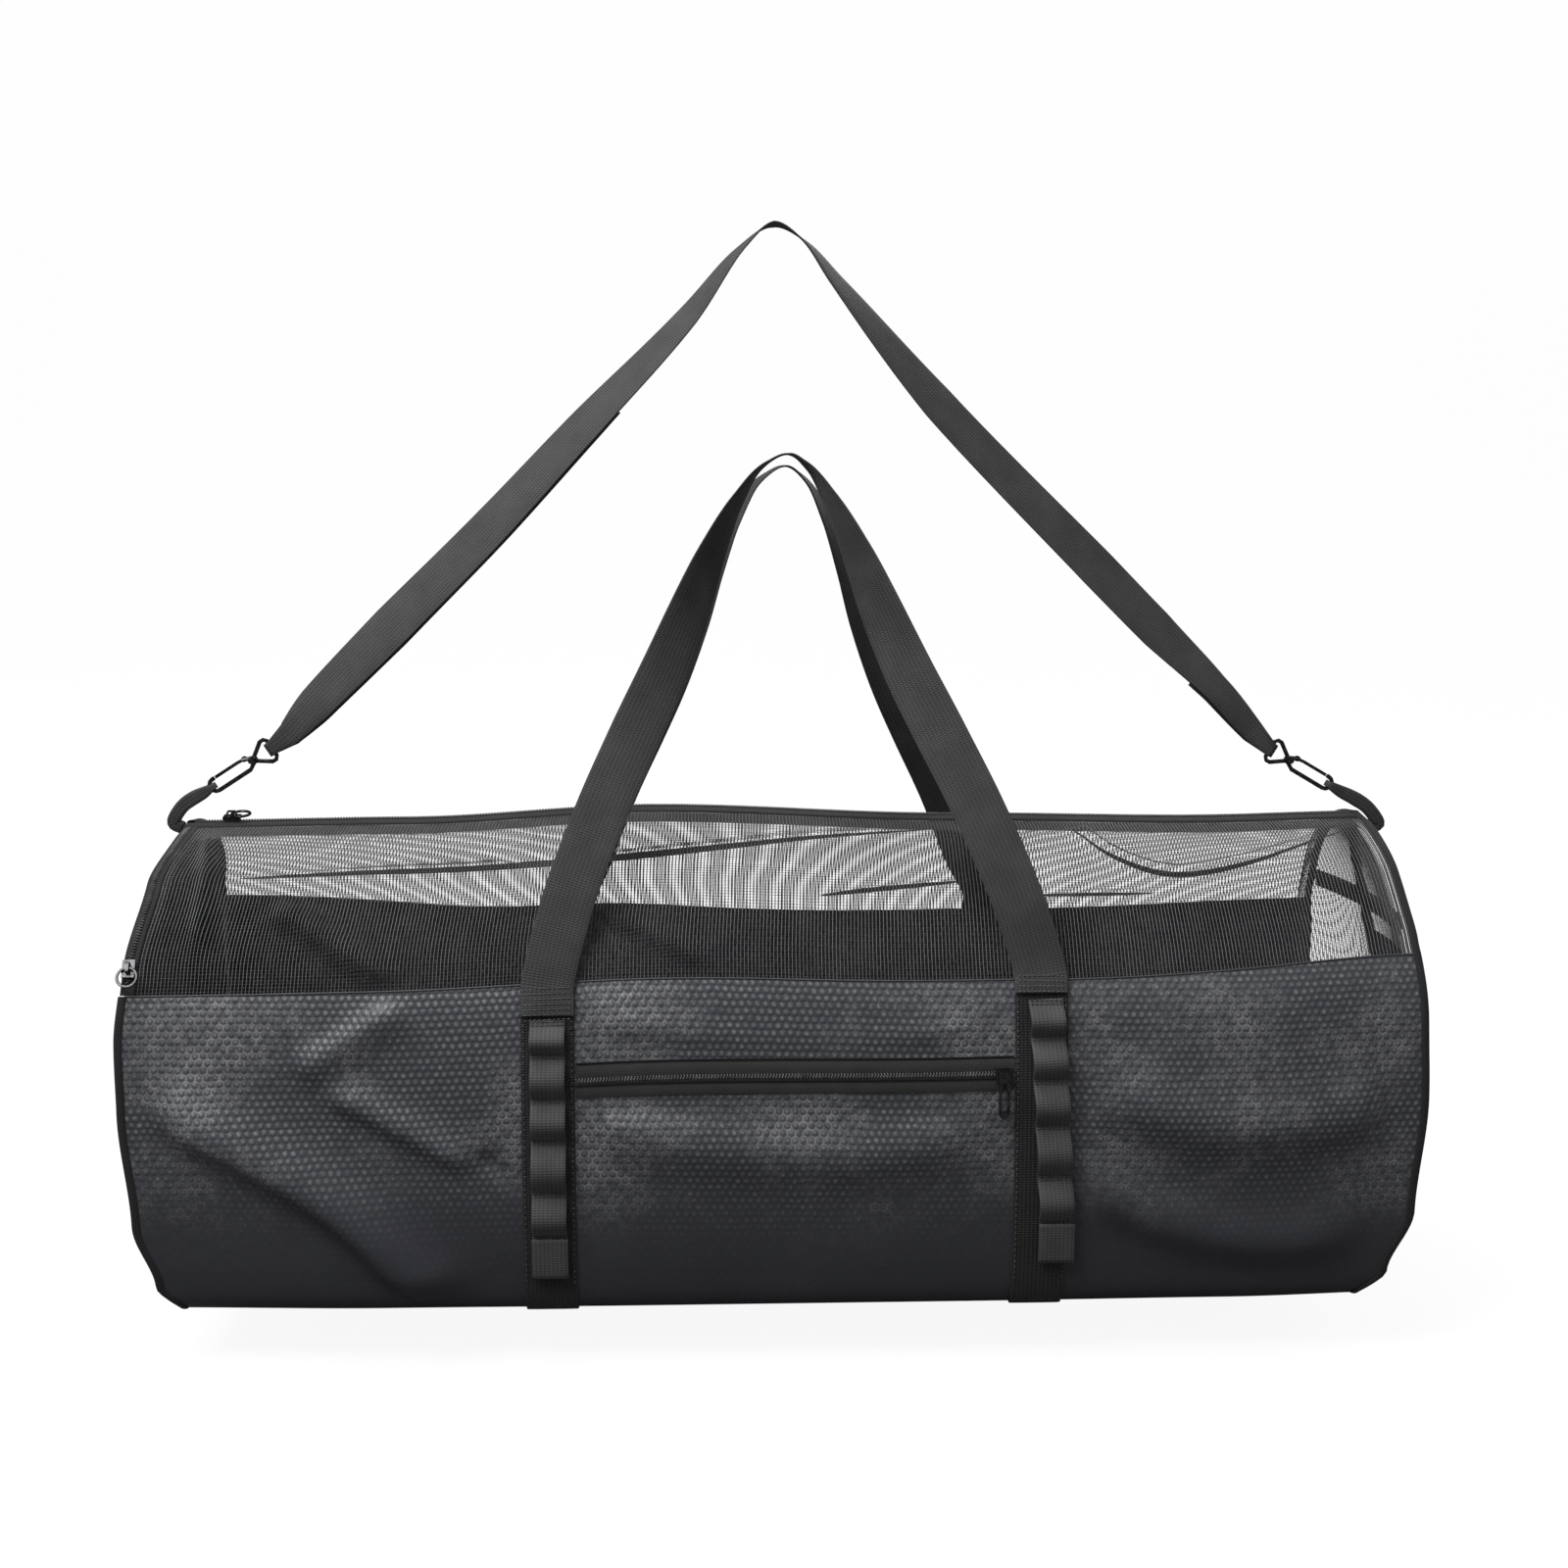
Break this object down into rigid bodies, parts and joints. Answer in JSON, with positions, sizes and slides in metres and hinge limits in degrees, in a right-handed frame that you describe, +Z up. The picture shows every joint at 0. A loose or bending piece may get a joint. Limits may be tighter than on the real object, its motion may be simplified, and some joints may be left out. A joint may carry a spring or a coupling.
{
  "type": "mesh dive gear bag",
  "caption": "Long barrel gear bag with a see-through net top, coated fabric base, carry handles, daisy chains, front pocket zip and a clip-on shoulder strap.",
  "frame": {"origin": "middle of the outline box on the floor under the bag", "axes": "+X along the bag to the right of the pocket side, -Y out of the pocket side, +Z up"},
  "size_m": [0.9632, 0.3586, 0.7908],
  "materials": {
    "coated_fabric": "charcoal coated fabric embossed with small hexagons",
    "net": "black square net, see-through",
    "webbing": "dark grey woven webbing with a fine cross rib",
    "zip_tape": "black woven zip tape",
    "zip_coil": "black moulded zip teeth",
    "dark_metal": "dark nickel plated metal"
  },
  "bodies": {
    "bag": {"base_fabric": "coated_fabric", "end_panel_left": "coated_fabric", "end_fabric_right": "coated_fabric", "mesh_front": "net", "mesh_back": "net", "end_mesh_right": "net", "rim_binding_left": "webbing", "rim_binding_right": "webbing", "girth_strap_left": "webbing", "girth_strap_right": "webbing", "handle_front": "webbing", "handle_back": "webbing", "daisy_chain_left": "webbing", "daisy_chain_right": "webbing", "tab_left": "webbing", "tab_right": "webbing", "shoulder_strap": "webbing", "end_strap_vertical": "webbing", "end_strap_cross": "webbing", "main_zip_tape_front": "zip_tape", "main_zip_tape_back": "zip_tape", "end_zip_tape": "zip_tape", "pocket_zip_tape_upper": "zip_tape", "pocket_zip_tape_lower": "zip_tape", "main_zip_coil": "zip_coil", "end_zip_coil": "zip_coil", "pocket_zip_coil": "zip_coil", "pocket_zip_slider": "dark_metal", "main_zip_slider": "dark_metal", "end_zip_slider": "dark_metal", "hook_left": "dark_metal", "hook_right": "dark_metal"},
    "pocket_zip_pull_body": {"pocket_zip_pull": "dark_metal"},
    "main_zip_pull_body": {"main_zip_pull": "dark_metal"},
    "end_zip_pull_body": {"end_zip_pull": "dark_metal"},
    "hook_gate_left_body": {"hook_gate_left": "dark_metal"},
    "hook_gate_right_body": {"hook_gate_right": "dark_metal"}
  },
  "joints": [
    {"name": "pocket_pull_swing", "type": "hinge", "parent": "bag", "child": "pocket_zip_pull_body", "pos_m": [0.15952, -0.1718, 0.17943], "axis": [0, -0.9974, 0.0724], "range_deg": [-75, 18]},
    {"name": "main_ring_flip", "type": "hinge", "parent": "bag", "child": "main_zip_pull_body", "pos_m": [-0.41846, 0.00395, 0.34415], "axis": [0, -0.989, -0.1477], "range_deg": [0, 100]},
    {"name": "end_ring_flip", "type": "hinge", "parent": "bag", "child": "end_zip_pull_body", "pos_m": [-0.46415, -0.14411, 0.25668], "axis": [-1, 0, 0], "range_deg": [0, 100]},
    {"name": "left_gate_open", "type": "hinge", "parent": "bag", "child": "hook_gate_left_body", "pos_m": [-0.4078, 0.00516, 0.38656], "axis": [0, -1, 0], "range_deg": [0, 12], "stiffness_Nm_per_rad": 0.01, "springref_deg": -17.19},
    {"name": "right_gate_open", "type": "hinge", "parent": "bag", "child": "hook_gate_right_body", "pos_m": [0.41118, 0.00516, 0.38309], "axis": [0, 1, 0], "range_deg": [0, 12], "stiffness_Nm_per_rad": 0.01, "springref_deg": -17.19}
  ]
}
